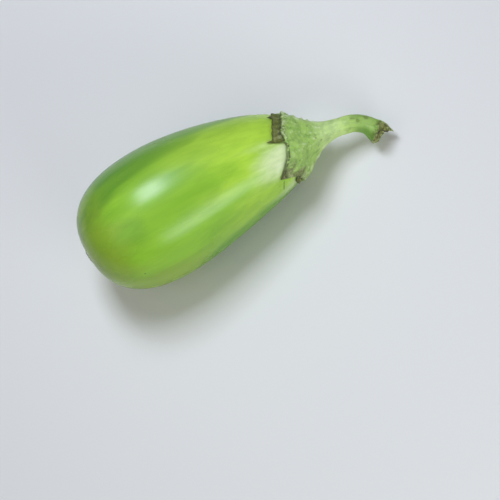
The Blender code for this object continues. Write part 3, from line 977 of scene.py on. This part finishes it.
def skin_material():
    """Glossy waxy skin: the mesh's colour zones, broken up by streaks, with fine flecks and the scar."""
    material, tree, shader = new_material("eggplant_skin")
    place = attribute(tree, "grown", "Vector")
    broad = patches(tree, place, 90.0, 0.3, 0.7, 0.1)
    fine = patches(tree, place, 420.0, 0.3, 0.72, 0.06)
    cloud = patches(tree, place, 45.0, 0.35, 0.65, 0.45)

    def streaked(name, weight):
        """A colour zone whose border is drawn out into streaks."""
        zone = attribute(tree, name)
        pushed = calculate(tree, "ADD", zone, between(tree, broad, 0.0, 1.0, -weight, weight))
        return product(tree, between(tree, pushed, 0.1, 0.9), between(tree, zone, 0.0, 0.25))

    scar = attribute(tree, "scar")
    cork = colour_mix(tree, patches(tree, place, 900.0, 0.35, 0.65), CORK, CORK_DARK)
    colour = layered(tree, GREEN, (
        (streaked("stem", 0.15), 1.0, STEM_GREEN),
        (cloud, 0.35, DARK_GREEN),
        # The dark and olive zones: darker skin, and painted shade on the edges and lower side.
        (streaked("dark", 0.22), 1.0, DARK_GREEN),
        (streaked("olive", 0.12), 0.9, OLIVE),
        (streaked("cream", 0.12), 1.0, CREAM),
        (broad, 0.2, STEM_GREEN),
        (fine, 0.14, DARK_GREEN),
        (marks(tree, place, SKIN_MARKS), 0.75, MARK_BROWN),
        (scar, 1.0, cork),
    ))
    waxy = between(tree, cloud, 0.0, 1.0, 0.24, 0.3)
    rough = put(tree, "ShaderNodeMapRange", Value=scar, To_Min=waxy, To_Max=0.85).outputs[0]
    normal = bump(tree, noise_at(tree, place, 1100.0, 3.0), 0.22, 0.08 * MM)
    fill(shader, Base_Color=colour, Roughness=rough, Normal=normal, IOR=1.45)
    return material


# Calyx colours, and where its brown and its bleached spots are: along (mm), turn (degrees), out, half-width
# and half-length (mm)
# The deep and pale greens are also laid as painted shade in hollows and painted light on bumps, and
# STALK_DEEP as painted shade on the stalk's lower side.
CALYX_GREEN = (0.43, 0.65, 0.13)
CALYX_DEEP = (0.17, 0.34, 0.05)
CALYX_PALE = (0.72, 0.84, 0.42)
STALK_GREEN = (0.55, 0.76, 0.165)
STALK_DEEP = (0.15, 0.31, 0.04)
DRY_BROWN = (0.125, 0.155, 0.012)
DRY_BEIGE = (0.29, 0.34, 0.055)
WORN_BEIGE = (0.38, 0.37, 0.17)
WORN_BROWN = (0.15, 0.15, 0.045)
WORN_PALE = (0.43, 0.48, 0.21)
# Near black: the rim's brown, and painted shade in creases, in the dry margin's hollows and under the rim.
RIM_BROWN_AND_SHADE = (0.045, 0.045, 0.016)
CUT_BROWN = (0.11, 0.105, 0.014)
END_DEEP = (0.105, 0.165, 0.022)
CUT_BEIGE = (0.31, 0.335, 0.075)
CUT_PALE = (0.46, 0.53, 0.21)
# Near black: the crack's brown, deepened by painted shade in its hollow.
CRACK_BROWN_AND_SHADE = (0.042, 0.032, 0.008)
SPOT_BROWN = (0.17, 0.23, 0.035)
HAIR_PALE = (0.7, 0.78, 0.5)
FIBRE_BEIGE = (0.5, 0.52, 0.27)
CALYX_SPOTS = (
    (126.0, -50.5, 5.4, 2.6, 2.2), (122.2, -16.5, 5.2, 2.0, 1.6), (119.5, -32.0, 5.2, 1.1, 2.2),
    (134.0, 25.0, 6.2, 3.2, 2.4),
    (113.0, -72.0, 5.2, 0.9, 2.2), (127.0, 130.0, 5.4, 2.0, 2.6), (117.0, 170.0, 5.2, 1.5, 3.2),
    (88.9, -44.1, 15.9, 1.2, 1.2), (96.1, 8.0, 10.1, 0.9, 1.2), (98.9, 24.5, 8.5, 0.8, 1.5),
)
BLEACHED_SPOTS = ((77.4, -17.5, 21.8, 2.0, 1.9), (79.6, -24.0, 21.2, 1.6, 1.2))


def calyx_material():
    """Dull green tissue with painted light on its bumps and painted shade in its hollows, dry brown margins,
    worn lobe tips, painted shade in the creases and under the brown rim, brown spots and a torn cut end."""
    material, tree, shader = new_material("calyx_tissue")
    place = attribute(tree, "grown", "Vector")
    split = put(tree, "ShaderNodeSeparateXYZ", Vector=place)
    under = split.outputs["Y"]
    height = attribute(tree, "height")

    def patched(*levels):
        return patches(tree, place, *levels)

    def span(low, high):
        """Rises from 0 to 1 between two places along the line (mm)."""
        return between(tree, split.outputs["Z"], low * MM, high * MM)

    def patched_mask(name, *levels):
        """A mask of the mesh, broken up into patches."""
        return product(tree, attribute(tree, name), patched(*levels))

    on_stalk = span(92, 106)
    deep = colour_mix(tree, on_stalk, CALYX_DEEP, STALK_DEEP)
    tissue = layered(tree, colour_mix(tree, on_stalk, CALYX_GREEN, STALK_GREEN), (
        (patched(210.0, 0.4, 0.66), 0.45, deep),
        (patched(520.0, 0.48, 0.7, 0.12), 0.22, deep),
        # Painted shade in the hollows and painted light on the bumps, by the relief's height.
        (between(tree, height, 0.48, 0.12), 0.75, deep),
        (between(tree, height, 0.52, 0.95), 0.7, CALYX_PALE),
        (patched(900.0, 0.54, 0.72), 0.4, CALYX_PALE),
        (product(tree, span(92, 102), span(122, 106)), 0.38, CALYX_PALE),
        (span(112, 126), 0.48, STALK_DEEP),
        # Painted shade on the stalk's lower side near its end.
        (product(tree, between(tree, under, 0.5 * MM, 3.6 * MM), span(118, 128)), 0.8, STALK_DEEP),
    ))
    dry = layered(tree, DRY_BROWN, (
        (patched(330.0, 0.46, 0.7), 1.0, DRY_BEIGE),
        # Painted shade in the dry margin's hollows.
        (between(tree, height, 0.48, 0.3), 0.6, RIM_BROWN_AND_SHADE),
    ))
    worn = colour_mix(tree, patched(520.0, 0.38, 0.54), WORN_BEIGE, WORN_BROWN)
    # The torn end is brown on its upper side and deeper green towards its lower side: partly bruising,
    # partly painted shade.
    torn = colour_mix(tree, between(tree, under, -1 * MM, 3 * MM), CUT_BROWN, END_DEEP)
    face = layered(tree, CUT_BEIGE, (
        (patched(620.0, 0.4, 0.6), 1.0, CUT_BROWN),
        # Painted shade in the cut face's hollows.
        (between(tree, height, 0.45, 0.1), 0.8, CUT_BROWN),
        (patched_mask("face_rim", 560.0, 0.42, 0.56), 0.85, CUT_PALE),
    ))
    colour = layered(tree, tissue, (
        (attribute(tree, "dry"), 1.0, dry),
        (marks(tree, place, BLEACHED_SPOTS), 0.75, WORN_PALE),
        (patched_mask("worn", 380.0, 0.28, 0.44), 0.85, worn),
        (patched_mask("beaded", 800.0, 0.52, 0.62), 0.75, CALYX_PALE),
        (patched_mask("beaded", 800.0, 0.44, 0.36), 0.75, WORN_BROWN),
        # Painted shade along the crease, and at the rim its brown edge with painted shadow under it.
        (patched_mask("crease", 600.0, 0.36, 0.54), 0.9, RIM_BROWN_AND_SHADE),
        (attribute(tree, "edge"), 0.65, RIM_BROWN_AND_SHADE),
        (marks(tree, place, CALYX_SPOTS), 0.6, SPOT_BROWN),
        (patched_mask("end", 480.0, 0.42, 0.58), 0.9, torn),
        (attribute(tree, "cut"), 1.0, face),
        # The crack's brown, with painted shade in its hollow.
        (between(tree, attribute(tree, "crack"), 0.08, 0.4), 1.0, CRACK_BROWN_AND_SHADE),
    ))
    dull = between(tree, patched(300.0, 0.3, 0.7), 0.0, 1.0, 0.48, 0.66)
    rough = put(tree, "ShaderNodeMapRange", Value=attribute(tree, "dry"), To_Min=dull, To_Max=0.9).outputs[0]
    normal = bump(tree, noise_at(tree, place, 1500.0, 4.0), 0.5, 0.2 * MM)
    fill(shader, Base_Color=colour, Roughness=rough, Normal=normal)
    fill(shader, Sheen_Weight=0.06, Sheen_Roughness=0.4, Sheen_Tint=(0.9, 1.0, 0.75))
    return material


def strand_material(name, root, tip, rough):
    """Hairs or fibres: one colour at the root, another at the tip."""
    material, tree, shader = new_material(name)
    colour = colour_mix(tree, attribute(tree, "toward_tip"), root, tip)
    fill(shader, Base_Color=colour, Roughness=rough)
    return material


# Floor, light and camera. For each light: its name, its tilt and slide (degrees), its distance, width and
# height (m), its power (W) and its colour.

FLOOR_REACH = 4.0
FLOOR_COLOUR = (0.86, 0.83, 0.77)
LIGHTS = (
    ("softbox", 40, -1, 0.7, 0.21, 0.34, 3.6, (0.74, 0.82, 1.0)),
    ("strip", -44, 16, 0.8, 0.54, 0.3, 2.5, (0.84, 0.92, 1.0)),
    ("fill", 5, -35, 1.6, 1.2, 1.2, 3.4, (1.0, 0.99, 0.95)),
)
SKY_COLOUR = (0.93, 0.96, 1.0)
SKY_STRENGTH = 0.17


def make_floor():
    """A plain pale floor under the flat spot."""
    mesh = bpy.data.meshes.new("floor")
    corners = [(x * FLOOR_REACH, y * FLOOR_REACH, 0) for x, y in ((-1, -1), (1, -1), (1, 1), (-1, 1))]
    mesh.from_pydata(corners, [], [(0, 1, 2, 3)])
    floor = new_object("floor", mesh)
    material, tree, shader = new_material("pale_floor")
    fill(shader, Base_Color=FLOOR_COLOUR, Roughness=0.9)
    mesh.materials.append(material)


def in_row_frame(direction):
    """A direction of the fruit's own frame, in the row frame."""
    return (RESTING.to_3x3() @ Vector(direction)).normalized()


def facing(back, right):
    """A turn whose local Z points back and whose local X points as near to right as it can."""
    up = back.cross(right).normalized()
    return Matrix((up.cross(back), up, back)).transposed().to_4x4()


def area_light(name, tilt, slide, distance, width, height, power, colour):
    """A soft rectangular light, aimed at the belly. It stands tilt degrees from the camera towards the
    fruit's upper edge and slide degrees towards its stalk, and its width runs lengthwise."""
    up = math.radians(tilt)
    along = math.radians(slide)
    toward = in_row_frame((math.sin(along), math.sin(up) * math.cos(along), math.cos(up) * math.cos(along)))
    data = bpy.data.lights.new(name, "AREA")
    data.shape = "RECTANGLE"
    data.size = width
    data.size_y = height
    data.energy = power
    data.color = colour
    light = new_object(name, data)
    place = RESTING.translation + toward * distance
    light.matrix_world = Matrix.Translation(place) @ facing(toward, in_row_frame((1, 0, 0)))


def make_light():
    """A softbox over the upper edge, a long strip low in front, a large weak fill, and a pale sky."""
    for settings in LIGHTS:
        area_light(*settings)
    world = bpy.data.worlds.new("pale_sky")
    world.use_nodes = True
    fill(world.node_tree.nodes["Background"], Color=SKY_COLOUR, Strength=SKY_STRENGTH)
    bpy.context.scene.world = world


def make_camera():
    """Looks square down on the side that faces up, turned until the fruit's axis rises as in the photograph,
    from as far as the lens needs for the photograph's scale."""
    pixel = MM_PER_PIXEL * MM
    middle = PICTURE_SIDE_PX / 2
    distance = middle * pixel / (SENSOR_MM / 2 / LENS_MM)
    from_belly = Vector(((middle - BELLY_PX[0]) * pixel, (BELLY_PX[1] - middle) * pixel, distance))
    data = bpy.data.cameras.new("camera")
    data.lens = LENS_MM
    data.sensor_width = SENSOR_MM
    camera = new_object("camera", data)
    camera.matrix_world = RESTING @ Matrix.Rotation(-AXIS_RISE, 4, "Z") @ Matrix.Translation(from_belly)
    bpy.context.scene.camera = camera


make_camera()
make_light()
make_floor()
make_skin(skin_material())
grown = make_calyx(calyx_material())
make_hairs(*grown, strand_material("calyx_felt", CALYX_GREEN, HAIR_PALE, 0.6))
make_cut_fibres(grown[0], strand_material("torn_fibre", CUT_BEIGE, FIBRE_BEIGE, 0.7))
bpy.context.scene.view_settings.view_transform = "Standard"
